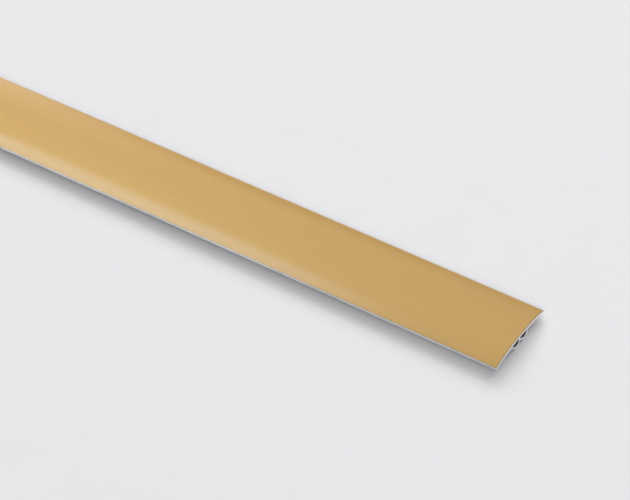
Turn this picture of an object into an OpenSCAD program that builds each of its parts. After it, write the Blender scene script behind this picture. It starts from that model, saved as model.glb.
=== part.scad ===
// Threshold strip: a thin domed extrusion faced with a gold film.
// Two hollow ribs under its middle stand in the joint between two floors, and a
// foam tape under each wing, still covered by its liner, bonds it to the floor.
// X runs along the strip, Y across it and Z up. Z = 0 is the surface it lies on.

/* [Strip] */
// Length of the cut strip
strip_length = 930; // [300:10:2700]
// Width over the two rounded long edges
strip_width = 40; // [38:0.5:50]
// Height of the metal crown above the feet under the long edges
crown_h = 3.1; // [2.6:0.1:4.5]
// Radius of the dome's flatter middle part
crown_r = 110; // [90:5:200]
// Distance from the middle at which the dome turns into its tighter shoulders
shoulder_y = 10; // [9:0.5:12]
// Thickness of the domed plate
plate_t = 1.2; // [1:0.05:1.5]
// Radius of the rounded long edges
edge_r = 0.5; // [0.3:0.05:0.6]

/* [Ribs] */
// Radius of the round bottom of the hollow in each rib
channel_r = 2.7; // [2.3:0.1:2.9]
// Depth of each hollow
channel_depth = 2.1; // [1.8:0.1:2.4]
// Thickness of the metal over the hollows
roof_t = 0.9; // [0.8:0.05:1.2]
// Wall round each hollow
rib_wall = 0.9; // [0.8:0.05:1.2]
// Wall between the two hollows
partition_t = 0.8; // [0.6:0.05:1.4]
// Fillet where the outside of a rib meets the plate
root_fillet_r = 0.6; // [0.3:0.1:1]
// Fillet in the valley between the ribs
valley_fillet_r = 0.4; // [0.2:0.1:0.8]

/* [Film] */
// Thickness of the gold film
film_t = 0.25; // [0.1:0.05:0.5]
// Bare metal between the film and the side of the strip
film_margin = 0.8; // [0.8:0.1:3]
// Bare metal between the film and each cut end
film_end_gap = 0.4; // [0:0.1:2]

/* [Tape] */
// Width of each foam tape
tape_w = 7; // [5:0.5:7]
// Thickness of the foam tape
tape_t = 1.5; // [1:0.1:2]
// Distance from each tape to the side of the strip
tape_edge_gap = 4.5; // [3:0.1:5]
// Distance that the tapes stop short of each cut end
tape_end_gap = 4; // [0:0.5:20]
// Thickness of the release liner
liner_t = 0.15; // [0.05:0.05:0.3]
// Width of liner that stands out past each side of its tape
liner_overhang = 0.5; // [0:0.1:0.7]

/* [Hidden] */
front = -1;
rear = 1;

// Arcs that run smoothly into each other overlap by this much, so that they cross cleanly.
arcs_cross = 0.0005;

// The section is drawn with Y across, the feet at height 0 and the middle at Y = 0.
// Its top is three tangent arcs: the crown, and a shoulder down to each rounded edge.
crown_centre = [0, crown_h - crown_r];
crown_angle = asin(shoulder_y / crown_r);
shoulder_up = [sin(crown_angle), cos(crown_angle)];
shoulder_start = crown_centre + crown_r * shoulder_up;
edge_centre = [strip_width / 2 - edge_r, edge_r];
shoulder_span = edge_centre - shoulder_start;
touched_r = edge_r - 2 * arcs_cross;
shoulder_r = (touched_r^2 - shoulder_span * shoulder_span) / (2 * (shoulder_span * shoulder_up + touched_r));
shoulder_centre = shoulder_start - shoulder_r * shoulder_up;
edge_angle = atan2(edge_centre.x - shoulder_centre.x, edge_centre.y - shoulder_centre.y);

// The ribs hang from the underside of the crown.
under_r = crown_r - plate_t;
rib_r = channel_r + rib_wall;
rib_centre = [channel_r + partition_t / 2, crown_h - roof_t - channel_depth + channel_r];
root_fillet = circles_meet(crown_centre, under_r - root_fillet_r, rib_centre, rib_r + root_fillet_r);
root_on_plate = crown_centre + (root_fillet - crown_centre) * under_r / (under_r - root_fillet_r);

tape_outer_y = strip_width / 2 - tape_edge_gap;
tape_inner_y = tape_outer_y - tape_w;
liner_outer_y = tape_outer_y + liner_overhang;
liner_r = shoulder_r - plate_t - tape_t - liner_t;
liner_low = shoulder_centre.y + sqrt(liner_r^2 - (liner_outer_y - shoulder_centre.x)^2);
tape_length = strip_length - 2 * tape_end_gap;

// The part stands on whichever reaches lowest: the liners, the ribs or the feet.
feet_z = -min(liner_low, rib_centre.y - rib_r, 0);

arc_steps = 720;
round_steps = 96;

// Where two circles cross, on the side of the line between their centres that has the larger Y.
function circles_meet(a, ra, b, rb) =
    let (
        d = norm(b - a),
        u = (b - a) / d,
        along = (d^2 + ra^2 - rb^2) / (2 * d),
        aside = sqrt(ra^2 - along^2)
    )
    a + along * u + aside * [u.y, -u.x];

// The same point on the front or the rear side of the section.
function on(side, p) = [side * p.x, p.y];

module along_strip(length) {
    translate([0, 0, feet_z])
        rotate([90, 0, 90])
            linear_extrude(height = length, center = true)
                children();
}

module disc(centre, r, steps = round_steps) {
    translate(centre)
        circle(r = r, $fn = steps);
}

// Everything under the dome, with its top surface moved up by offset. Where a shoulder
// meets the crown, the flatter of the two stops and the rounder runs on beneath it.
module under_dome(offset) {
    beyond = crown_centre + (crown_r + offset + crown_h) * shoulder_up;
    crown_sector = [crown_centre, beyond, on(front, beyond)];
    if (shoulder_r < crown_r) {
        intersection() {
            disc(crown_centre, crown_r + offset, arc_steps);
            polygon(crown_sector);
        }
        for (side = [front, rear])
            disc(on(side, shoulder_centre), shoulder_r + offset + arcs_cross, arc_steps);
    } else {
        disc(crown_centre, crown_r + offset, arc_steps);
        difference() {
            intersection_for(side = [front, rear])
                disc(on(side, shoulder_centre), shoulder_r + offset - arcs_cross, arc_steps);
            polygon(crown_sector);
        }
    }
}

// A layer that follows the dome from y0 to y1, between two heights over its top surface.
module dome_layer(y0, y1, low, high) {
    intersection() {
        difference() {
            under_dome(high);
            under_dome(low);
        }
        translate([y0, -crown_h])
            square([y1 - y0, 3 * crown_h]);
    }
}

module plate_section() {
    edge_top = edge_centre + edge_r * [sin(edge_angle), cos(edge_angle)];
    for (side = [front, rear])
        disc(on(side, edge_centre), edge_r);
    difference() {
        intersection() {
            under_dome(0);
            polygon([
                [-edge_centre.x, 0], [edge_centre.x, 0], edge_centre, edge_top,
                [edge_top.x, 2 * crown_h], [-edge_top.x, 2 * crown_h],
                on(front, edge_top), on(front, edge_centre)
            ]);
        }
        under_dome(-plate_t);
    }
}

// The metal between two tangent points, outside the fillet's own circle.
module fillet_section(centre, r, from, metal, to) {
    difference() {
        polygon([centre, from, metal, to]);
        disc(centre, r + arcs_cross);
    }
}

module root_fillet_sections() {
    on_rib = rib_centre + (root_fillet - rib_centre) * rib_r / (rib_r + root_fillet_r);
    in_plate = circles_meet(crown_centre, under_r, rib_centre, rib_r) + [0, plate_t / 2];
    fillet_section(root_fillet, root_fillet_r, root_on_plate, in_plate, on_rib);
    fillet_section(
        on(front, root_fillet), root_fillet_r,
        on(front, on_rib), on(front, in_plate), on(front, root_on_plate)
    );
}

module valley_fillet_section() {
    drop = sqrt((rib_r + valley_fillet_r)^2 - rib_centre.x^2);
    share = rib_r / (rib_r + valley_fillet_r);
    on_rib = [rib_centre.x * (1 - share), rib_centre.y - drop * share];
    fillet_section(
        [0, rib_centre.y - drop], valley_fillet_r,
        on_rib, [0, crown_h - plate_t / 2], on(front, on_rib)
    );
}

// Both ribs, or with the smaller radius both hollows, up to a height in the plate.
module under_crown(r, top_r) {
    intersection() {
        for (side = [front, rear])
            disc(on(side, rib_centre), r);
        disc(crown_centre, top_r, arc_steps);
    }
}

module aluminium_profile() {
    color("silver")
        along_strip(strip_length)
            difference() {
                union() {
                    plate_section();
                    under_crown(rib_r, crown_r - plate_t / 2);
                    root_fillet_sections();
                    valley_fillet_section();
                }
                under_crown(channel_r, crown_r - roof_t);
            }
}

module gold_film() {
    film_y = strip_width / 2 - film_margin;
    color("goldenrod")
        along_strip(strip_length - 2 * film_end_gap)
            dome_layer(-film_y, film_y, 0, film_t);
}

// side is front or rear.
module foam_tape(side) {
    color("whitesmoke")
        mirror([0, side == front ? 1 : 0, 0])
            along_strip(tape_length)
                dome_layer(tape_inner_y, tape_outer_y, -plate_t - tape_t, -plate_t);
}

module release_liner(side) {
    lined = -plate_t - tape_t;
    color("peru")
        mirror([0, side == front ? 1 : 0, 0])
            along_strip(tape_length)
                dome_layer(tape_inner_y - liner_overhang, liner_outer_y, lined - liner_t, lined);
}

aluminium_profile();
gold_film();
foam_tape(front);  // foam_tape_front
foam_tape(rear);  // foam_tape_rear
release_liner(front);  // release_liner_front
release_liner(rear);  // release_liner_rear
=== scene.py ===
"""Looks for the threshold strip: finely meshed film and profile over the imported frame,
procedural materials, floor, light and camera."""

import math

import bmesh
import bpy
from mathutils import Matrix, Vector
from mathutils.geometry import tessellate_polygon


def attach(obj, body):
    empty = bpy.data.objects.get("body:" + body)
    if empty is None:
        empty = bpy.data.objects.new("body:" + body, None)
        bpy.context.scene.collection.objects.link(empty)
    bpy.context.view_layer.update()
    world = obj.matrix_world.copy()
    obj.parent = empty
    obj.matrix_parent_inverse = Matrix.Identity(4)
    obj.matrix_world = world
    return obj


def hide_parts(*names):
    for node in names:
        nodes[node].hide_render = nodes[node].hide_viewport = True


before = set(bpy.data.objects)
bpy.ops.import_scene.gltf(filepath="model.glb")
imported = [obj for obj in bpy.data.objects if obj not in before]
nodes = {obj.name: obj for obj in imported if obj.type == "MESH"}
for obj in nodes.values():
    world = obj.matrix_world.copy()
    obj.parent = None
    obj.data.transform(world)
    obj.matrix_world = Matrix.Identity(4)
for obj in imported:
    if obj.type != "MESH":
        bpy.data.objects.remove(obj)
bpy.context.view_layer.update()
scene = bpy.context.scene
MM = 0.001
TINY = 1e-6


def direction(azimuth, elevation):
    """The unit vector at an azimuth, in radians round Z from +X, and a height above the floor."""
    level = math.cos(elevation)
    return Vector((level * math.cos(azimuth), level * math.sin(azimuth), math.sin(elevation)))


def add_object(name, data):
    made = bpy.data.objects.new(name, data)
    scene.collection.objects.link(made)
    return made


# ---------------------------------------------------------------- camera
SENSOR, CAM_LENS = 36.0, 191.314   # both in mm
CAM_AZ = math.radians(-32.21)      # round Z from +X to the camera
CAM_EL = math.radians(46.0)        # above the floor
CAM_ROLL = math.radians(-25.11)
CAM_AIM = Vector((331.641, 1.045, 0.0)) * MM   # on the floor, in the middle of the view
CAM_DIST = 1673.667 * MM                       # from there to the camera
CLIP_START, CLIP_END = 0.05, 50


def camera_axes():
    """The camera's right, up and backward directions, as columns."""
    back = direction(CAM_AZ, CAM_EL)
    level = (-back).cross(Vector((0, 0, 1))).normalized()
    upright = level.cross(-back)
    right = level * math.cos(CAM_ROLL) + upright * math.sin(CAM_ROLL)
    up = upright * math.cos(CAM_ROLL) - level * math.sin(CAM_ROLL)
    return Matrix((right, up, back)).transposed()


AXES = camera_axes()
CAM_POS = CAM_AIM + direction(CAM_AZ, CAM_EL) * CAM_DIST

cam_data = bpy.data.cameras.new("camera")
cam_data.sensor_fit = "AUTO"
cam_data.sensor_width = SENSOR
cam_data.lens = CAM_LENS
cam_data.clip_start, cam_data.clip_end = CLIP_START, CLIP_END
camera = add_object("camera", cam_data)
camera.matrix_world = Matrix.Translation(CAM_POS) @ AXES.to_4x4()
scene.camera = camera


# ---------------------------------------------------------------- section, in mm, as part.scad draws it
STRIP_L, STRIP_W, CROWN_H, CROWN_R, SHOULDER_Y = 930.0, 40.0, 3.1, 110.0, 10.0
PLATE_T, EDGE_R, FILM_T, FILM_MARGIN, FILM_END_GAP = 1.2, 0.5, 0.25, 0.8, 0.4
CHANNEL_R, CHANNEL_DEPTH, ROOF_T, RIB_WALL, PARTITION_T = 2.7, 2.1, 0.9, 0.9, 0.8
ROOT_R, VALLEY_R = 0.6, 0.4
TAPE_AND_LINER_T, LINER_OUTER_Y = 1.65, 16.0

# How many straight lines each arc of the section is drawn with
CROWN_STEPS, SHOULDER_STEPS, EDGE_STEPS = 18, 22, 14
UNDER_SHOULDER_STEPS, UNDER_CROWN_STEPS = 14, 6
ROOT_STEPS, RIB_STEPS, VALLEY_STEPS = 8, 28, 5
ROOF_STEPS, CHANNEL_STEPS = 8, 26
FILM_FINENESS = 2


def between(a, b, share):
    """The point at a share of the way from a to b, or past b."""
    return a[0] + (b[0] - a[0]) * share, a[1] + (b[1] - a[1]) * share


def circles_meet(a, ra, b, rb):
    """Where two circles cross, on the side of the line between their centres with the larger Y."""
    d = math.dist(a, b)
    u = ((b[0] - a[0]) / d, (b[1] - a[1]) / d)
    along = (d * d + ra * ra - rb * rb) / (2 * d)
    aside = math.sqrt(ra * ra - along * along)
    return a[0] + along * u[0] + aside * u[1], a[1] + along * u[1] - aside * u[0]


def bearing(centre, p):
    """The angle of p seen from a centre; angles run from straight up, towards +Y."""
    return math.atan2(p[0] - centre[0], p[1] - centre[1])


def arc(centre, r, start, end, steps):
    angles = [start + (end - start) * i / steps for i in range(steps + 1)]
    return [(centre[0] + r * math.sin(a), centre[1] + r * math.cos(a)) for a in angles]


def mirror(points):
    return [(-y, z) for y, z in reversed(points)]


def whole(half_line):
    """A half outline that starts on the middle, doubled to run from -Y to +Y."""
    return mirror(half_line)[:-1] + half_line


crown_centre = (0.0, CROWN_H - CROWN_R)
crown_angle = math.asin(SHOULDER_Y / CROWN_R)
shoulder_start = (CROWN_R * math.sin(crown_angle), crown_centre[1] + CROWN_R * math.cos(crown_angle))
edge_centre = (STRIP_W / 2 - EDGE_R, EDGE_R)
across, down = edge_centre[0] - shoulder_start[0], edge_centre[1] - shoulder_start[1]
along_normal = across * math.sin(crown_angle) + down * math.cos(crown_angle)
shoulder_r = (EDGE_R ** 2 - across ** 2 - down ** 2) / (2 * (along_normal + EDGE_R))
# Both centres lie on one line through the arcs' joint, so the dome has no crease there.
shoulder_centre = between(shoulder_start, crown_centre, shoulder_r / CROWN_R)
edge_angle = bearing(shoulder_centre, edge_centre)
rib_r = CHANNEL_R + RIB_WALL
rib_centre = (CHANNEL_R + PARTITION_T / 2, CROWN_H - ROOF_T - CHANNEL_DEPTH + CHANNEL_R)
under_r = CROWN_R - PLATE_T
# The part stands on the outer edges of its liners.
liner_r = shoulder_r - PLATE_T - TAPE_AND_LINER_T
FEET_Z = -shoulder_centre[1] - math.sqrt(liner_r ** 2 - (LINER_OUTER_Y - shoulder_centre[0]) ** 2)


def dome_half(offset, y_end=None, fineness=1):
    """The dome's top moved up by offset, from the middle out to y_end or to the rounded edge."""
    end = edge_angle if y_end is None else math.asin((y_end - shoulder_centre[0]) / (shoulder_r + offset))
    crown = arc(crown_centre, CROWN_R + offset, 0, crown_angle, CROWN_STEPS * fineness)
    shoulder = arc(shoulder_centre, shoulder_r + offset, crown_angle, end, SHOULDER_STEPS * fineness)
    return crown[:-1] + shoulder


def outer_outline():
    """The profile's outline, closed and clockwise seen from +X."""
    root_centre = circles_meet(crown_centre, under_r - ROOT_R, rib_centre, rib_r + ROOT_R)
    root_on_plate = between(crown_centre, root_centre, under_r / (under_r - ROOT_R))
    root_on_rib = between(rib_centre, root_centre, rib_r / (rib_r + ROOT_R))
    drop = math.sqrt((rib_r + VALLEY_R) ** 2 - rib_centre[0] ** 2)
    valley_centre = (0.0, rib_centre[1] - drop)
    valley_on_rib = between(rib_centre, valley_centre, rib_r / (rib_r + VALLEY_R))
    wing_r = shoulder_r - PLATE_T
    foot_inner = shoulder_centre[0] + math.sqrt(wing_r ** 2 - shoulder_centre[1] ** 2)

    foot_angle = bearing(shoulder_centre, (foot_inner, 0))
    under_shoulder = arc(shoulder_centre, wing_r, foot_angle, crown_angle, UNDER_SHOULDER_STEPS)
    plate_end = bearing(crown_centre, root_on_plate)
    under_crown = arc(crown_centre, under_r, crown_angle, plate_end, UNDER_CROWN_STEPS)
    root_start, root_end = bearing(root_centre, root_on_plate), bearing(root_centre, root_on_rib)
    if root_end >= 0:
        root_end -= 2 * math.pi
    root = arc(root_centre, ROOT_R, root_start, root_end, ROOT_STEPS)
    rib_end = bearing(rib_centre, valley_on_rib) % (2 * math.pi)
    rib = arc(rib_centre, rib_r, bearing(rib_centre, root_on_rib), rib_end, RIB_STEPS)
    valley = arc(valley_centre, VALLEY_R, bearing(valley_centre, valley_on_rib), 0, VALLEY_STEPS)

    half = dome_half(0) + arc(edge_centre, EDGE_R, edge_angle, math.pi, EDGE_STEPS)[1:]
    half += under_shoulder[:-1] + under_crown + root[1:] + rib[1:] + valley[1:]
    return half[:-1] + mirror(half[1:])


def channel_outline(side):
    """The hollow of one rib; its roof comes first, from its inner to its outer end."""
    roof_r = CROWN_R - ROOF_T
    outer = circles_meet(crown_centre, roof_r, rib_centre, CHANNEL_R)
    d = math.dist(crown_centre, rib_centre)
    u = ((rib_centre[0] - crown_centre[0]) / d, (rib_centre[1] - crown_centre[1]) / d)
    along = (outer[0] - crown_centre[0]) * u[0] + (outer[1] - crown_centre[1]) * u[1]
    halfway = (crown_centre[0] + along * u[0], crown_centre[1] + along * u[1])
    inner = (2 * halfway[0] - outer[0], 2 * halfway[1] - outer[1])
    roof = arc(crown_centre, roof_r, bearing(crown_centre, inner), bearing(crown_centre, outer), ROOF_STEPS)
    bottom_end = bearing(rib_centre, inner) % (2 * math.pi)
    bottom = arc(rib_centre, CHANNEL_R, bearing(rib_centre, outer), bottom_end, CHANNEL_STEPS)
    loop = roof + bottom[1:-1]
    return loop if side > 0 else mirror(loop)


def film_outline():
    film_y = STRIP_W / 2 - FILM_MARGIN
    top, bottom = (whole(dome_half(offset, film_y, FILM_FINENESS)) for offset in (FILM_T, 0))
    return top + bottom[::-1]


# ---------------------------------------------------------------- meshes
SHARP_ANGLE = math.radians(22)
SKIN, SIDE, CUT_END = range(3)


def extruded(name, loops, length, materials, is_skin):
    """A closed solid along X from an outline and its holes. The materials are for the skin, the other
    sides and the cut ends, and is_skin says by its run across Y whether a side face is skin."""
    flat = [p for loop in loops for p in loop]
    n = len(flat)
    verts = [Vector((x, y, z + FEET_Z)) * MM for x in (-length / 2, length / 2) for y, z in flat]
    faces, slots = [], []
    start = 0
    for loop in loops:
        size = len(loop)
        for i in range(size):
            a, b = start + i, start + (i + 1) % size
            faces.append((a, b, b + n, a + n))
            slots.append(SKIN if is_skin(flat[b][0] - flat[a][0]) else SIDE)
        start += size
    for tri in tessellate_polygon([[Vector((y, z, 0)) for y, z in loop] for loop in loops]):
        faces.append(tuple(tri))
        faces.append(tuple(i + n for i in reversed(tri)))
        slots += [CUT_END, CUT_END]
    mesh = bpy.data.meshes.new(name)
    mesh.from_pydata(verts, [], faces)
    for material in materials:
        mesh.materials.append(material)
    bm = bmesh.new()
    bm.from_mesh(mesh)
    for face, slot in zip(bm.faces, slots):
        face.material_index = slot
        face.smooth = slot != CUT_END
    bmesh.ops.recalc_face_normals(bm, faces=bm.faces)
    bm.to_mesh(mesh)
    bm.free()
    mesh.set_sharp_from_angle(angle=SHARP_ANGLE)
    return add_object(name, mesh)


# ---------------------------------------------------------------- materials
def linear(rgb):
    """A colour as it shows on screen, turned into the linear values that nodes take."""
    return tuple(c / 12.92 if c <= 0.04045 else ((c + 0.055) / 1.055) ** 2.4 for c in rgb)


class Nodes:
    """A small helper to wire one material's nodes."""

    def __init__(self, name, **bsdf):
        self.material = bpy.data.materials.new(name)
        self.material.use_nodes = True
        self.tree = self.material.node_tree
        self.bsdf = self.tree.nodes["Principled BSDF"]
        for key, value in bsdf.items():
            self.bsdf.inputs[key.replace("_", " ")].default_value = value
        self.coords = self.tree.nodes.new("ShaderNodeTexCoord").outputs["Object"]

    def node(self, kind, **values):
        """A node whose keywords set its own properties, and otherwise its inputs."""
        made = self.tree.nodes.new("ShaderNode" + kind)
        for key, value in values.items():
            if hasattr(made, key) and key not in made.inputs:
                setattr(made, key, value)
            else:
                made.inputs[key.replace("_", " ")].default_value = value
        return made

    def link(self, a, b):
        self.tree.links.new(a, b)

    def noise(self, scale, detail=4.0, rough=0.6):
        """Noise with a scale of its own along X, Y and Z, in features to the metre."""
        stretch = self.node("Mapping", Scale=scale)
        self.link(self.coords, stretch.inputs["Vector"])
        tex = self.node("TexNoise", Scale=1.0, Detail=detail, Roughness=rough)
        self.link(stretch.outputs["Vector"], tex.inputs["Vector"])
        return tex.outputs["Fac"]

    def remap(self, fac, low, high, start, end):
        out = self.node("MapRange", From_Min=start, From_Max=end, To_Min=low, To_Max=high)
        self.link(fac, out.inputs["Value"])
        return out.outputs["Result"]

    def ramp(self, fac, low, high, start=0.3, end=0.7):
        """An even change from one number or colour to another, as fac goes from start to end."""
        if not isinstance(low, tuple):
            return self.remap(fac, low, high, start, end)
        mix = self.node("Mix", data_type="RGBA")
        factor, colour_a, colour_b = mix.inputs[0], mix.inputs[6], mix.inputs[7]
        colour_a.default_value = (*low, 1)
        colour_b.default_value = (*high, 1)
        self.link(self.remap(fac, 0.0, 1.0, start, end), factor)
        return mix.outputs[2]

    def bump(self, fac, height, strength=1.0, over=None):
        made = self.node("Bump", Distance=height, Strength=strength)
        self.link(fac, made.inputs["Height"])
        if over is not None:
            self.link(over, made.inputs["Normal"])
        return made.outputs["Normal"]

    def wire(self, **links):
        for key, out in links.items():
            self.link(out, self.bsdf.inputs[key.replace("_", " ")])
        return self.material


def gold_film_material():
    n = Nodes("satin_gold_film", Metallic=0.55, Specular_IOR_Level=0.5, Coat_Weight=1.0, Coat_Roughness=0.2)
    tone = n.noise((3.0, 60.0, 60.0), 3.0)
    grain = n.noise((25.0, 5200.0, 5200.0), 3.0, 0.7)
    colour = n.ramp(tone, linear((0.79, 0.622, 0.302)), linear((0.81, 0.64, 0.317)))
    rough = n.ramp(grain, 0.44, 0.52)
    return n.wire(Base_Color=colour, Roughness=rough, Normal=n.bump(grain, 0.000004, 0.5))


def film_edge_material():
    n = Nodes("film_cut_edge", Roughness=0.75)
    mottle = n.noise((900.0, 900.0, 900.0), 2.0)
    return n.wire(Base_Color=n.ramp(mottle, linear((0.44, 0.38, 0.28)), linear((0.56, 0.49, 0.37))))


def extruded_aluminium():
    """Fine lines along the strip, left by the extrusion die."""
    n = Nodes("extruded_aluminium", Metallic=1.0)
    lines = n.noise((4.0, 1500.0, 1500.0), 5.0, 0.65)
    cloud = n.noise((18.0, 140.0, 140.0), 3.0)
    colour = n.ramp(cloud, linear((0.79, 0.79, 0.80)), linear((0.86, 0.86, 0.865)))
    rough = n.ramp(lines, 0.42, 0.58)
    return n.wire(Base_Color=colour, Roughness=rough, Normal=n.bump(lines, 0.00001, 0.6))


def sawn_aluminium():
    """The cut ends: fine arcs left by a circular saw."""
    saw_centre_drop, saw_pitch, wobble_size = 0.12, 0.00042, 0.0006
    n = Nodes("sawn_aluminium", Metallic=0.5)
    place = n.node("Mapping", Location=(0.0, 0.0, saw_centre_drop))
    n.link(n.coords, place.inputs["Vector"])
    squash = n.node("VectorMath", operation="MULTIPLY")
    squash.inputs[1].default_value = (0.0, 1.0, 1.0)
    n.link(place.outputs["Vector"], squash.inputs[0])
    radius = n.node("VectorMath", operation="LENGTH")
    n.link(squash.outputs["Vector"], radius.inputs[0])
    uneven = n.node("Math", operation="MULTIPLY_ADD")
    n.link(n.noise((400.0, 400.0, 400.0), 2.0), uneven.inputs[0])
    uneven.inputs[1].default_value = wobble_size
    n.link(radius.outputs["Value"], uneven.inputs[2])
    turns = n.node("Math", operation="MULTIPLY")
    n.link(uneven.outputs[0], turns.inputs[0])
    turns.inputs[1].default_value = 2 * math.pi / saw_pitch
    arcs = n.node("Math", operation="SINE")
    n.link(turns.outputs[0], arcs.inputs[0])
    grain = n.noise((3000.0, 3000.0, 3000.0), 3.0)
    colour = n.ramp(grain, linear((0.80, 0.80, 0.81)), linear((0.90, 0.90, 0.905)))
    rough = n.ramp(grain, 0.30, 0.42)
    saw_marks = n.bump(arcs.outputs[0], 0.000006, 0.7)
    return n.wire(Base_Color=colour, Roughness=rough, Normal=n.bump(grain, 0.000006, 0.5, saw_marks))


def foam_material():
    n = Nodes("closed_cell_foam", Roughness=0.9, Specular_IOR_Level=0.25)
    voronoi = n.node("TexVoronoi", Scale=3200.0)
    n.link(n.coords, voronoi.inputs["Vector"])
    cells = voronoi.outputs["Distance"]
    colour = n.ramp(cells, linear((0.93, 0.93, 0.91)), linear((0.80, 0.80, 0.77)), 0.1, 0.8)
    return n.wire(Base_Color=colour, Normal=n.bump(cells, 0.00006, 0.8))


def liner_material():
    n = Nodes("release_paper", Roughness=0.45, Coat_Weight=0.2, Coat_Roughness=0.3)
    fibre = n.noise((260.0, 1800.0, 1800.0), 6.0, 0.7)
    crease = n.noise((20.0, 90.0, 90.0), 2.0)
    colour = n.ramp(fibre, linear((0.66, 0.49, 0.31)), linear((0.77, 0.60, 0.40)))
    fine = n.bump(fibre, 0.00001, 0.5)
    return n.wire(Base_Color=colour, Normal=n.bump(crease, 0.0001, 0.4, fine))


def floor_material():
    n = Nodes("pale_floor", Roughness=0.95, Specular_IOR_Level=0.0)
    cloud = n.noise((40.0, 40.0, 40.0), 2.0)
    return n.wire(Base_Color=n.ramp(cloud, linear((0.904, 0.902, 0.907)), linear((0.908, 0.906, 0.911))))


# ---------------------------------------------------------------- pieces
gold, film_edge = gold_film_material(), film_edge_material()
extrusion, sawn = extruded_aluminium(), sawn_aluminium()
foam, liner = foam_material(), liner_material()
for name, look in (("foam_tape_front", foam), ("foam_tape_rear", foam),
                   ("release_liner_front", liner), ("release_liner_rear", liner),
                   ("aluminium_profile", extrusion), ("gold_film", gold)):
    nodes[name].data.materials.clear()
    nodes[name].data.materials.append(look)

profile = extruded("profile_fine", [outer_outline(), channel_outline(1), channel_outline(-1)], STRIP_L,
                   [extrusion, extrusion, sawn], lambda run: True)
film = extruded("film_fine", [film_outline()], STRIP_L - 2 * FILM_END_GAP,
                [gold, film_edge, film_edge], lambda run: abs(run) > TINY)
for piece, node, slot in ((profile, "aluminium_profile", "aluminium"), (film, "gold_film", "gold_face")):
    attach(piece, "root")
    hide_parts(node)

# ---------------------------------------------------------------- floor and light
FLOOR_HALF = 12
WORLD_COLOUR, WORLD_STRENGTH = (0.99, 0.985, 1.0, 1), 0.35
LIGHT_AIM = Vector((0.3, 0, 0))
WHITE, PALE_BLUE = (1.0, 1.0, 1.0), (0.85, 1.0, 1.15)
# name, azimuth and elevation in degrees, distance, size, power, what it lights, and its colour
LIGHTS = (
    ("floor_key_low", 118, 12.5, 9.0, (7.0, 1.3), 1132.0, "floor", WHITE),
    ("floor_key_middle", 118, 21, 9.0, (7.0, 1.6), 173.0, "floor", WHITE),
    ("floor_key_high", 115, 29, 9.0, (2.0, 1.95), 80.0, "floor", WHITE),
    ("floor_key_left", 150, 25, 9.0, (3.0, 2.0), 80.0, "floor", WHITE),
    ("floor_key_right", 80, 20, 9.0, (3.0, 1.5), 266.0, "floor", WHITE),
    ("floor_fill", -45, 28, 6.0, (3.0, 3.0), 102.0, "floor", WHITE),
    ("overhead", 120, 62, 3.0, (3.4, 3.4), 25.2, "strip", WHITE),
    ("back_light", 90, 12, 3.0, (3.0, 0.8), 18.0, "strip", WHITE),
    ("left_light", 160, 20, 3.0, (2.0, 1.0), 15.0, "strip", WHITE),
    ("edge_light", 180, 46.8, 0.86, (0.2, 0.34), 0.72, "strip", PALE_BLUE),
    ("end_light", 10, 8, 2.5, (0.6, 0.6), 24.0, "strip", WHITE),
)

floor_mesh = bpy.data.meshes.new("floor")
floor_corners = [(x * FLOOR_HALF, y * FLOOR_HALF, 0) for x, y in ((-1, -1), (1, -1), (1, 1), (-1, 1))]
floor_mesh.from_pydata(floor_corners, [], [(0, 1, 2, 3)])
floor_mesh.materials.append(floor_material())
floor = add_object("floor", floor_mesh)

world = bpy.data.worlds.new("studio")
world.use_nodes = True
background = world.node_tree.nodes["Background"]
background.inputs["Color"].default_value = WORLD_COLOUR
background.inputs["Strength"].default_value = WORLD_STRENGTH
scene.world = world
scene.view_settings.view_transform = "Standard"

kept_nodes = [nodes[n] for n in nodes if n not in ("aluminium_profile", "gold_film")]
lit = {}
for name, pieces in (("floor", [floor]), ("strip", [profile, film] + kept_nodes)):
    lit[name] = bpy.data.collections.new("lit_" + name)
    for piece in pieces:
        lit[name].objects.link(piece)


def softbox(name, azimuth, elevation, distance, size, power, target, colour):
    """A rectangular light that faces LIGHT_AIM and lights the floor or the strip alone."""
    data = bpy.data.lights.new(name, "AREA")
    data.shape = "RECTANGLE"
    data.size, data.size_y = size
    data.energy, data.color = power, colour
    out = direction(math.radians(azimuth), math.radians(elevation))
    light = add_object(name, data)
    light.location = LIGHT_AIM + out * distance
    light.rotation_euler = out.to_track_quat("Z", "Y").to_euler()
    light.light_linking.receiver_collection = lit[target]


for spec in LIGHTS:
    softbox(*spec)


bpy.context.view_layer.update()
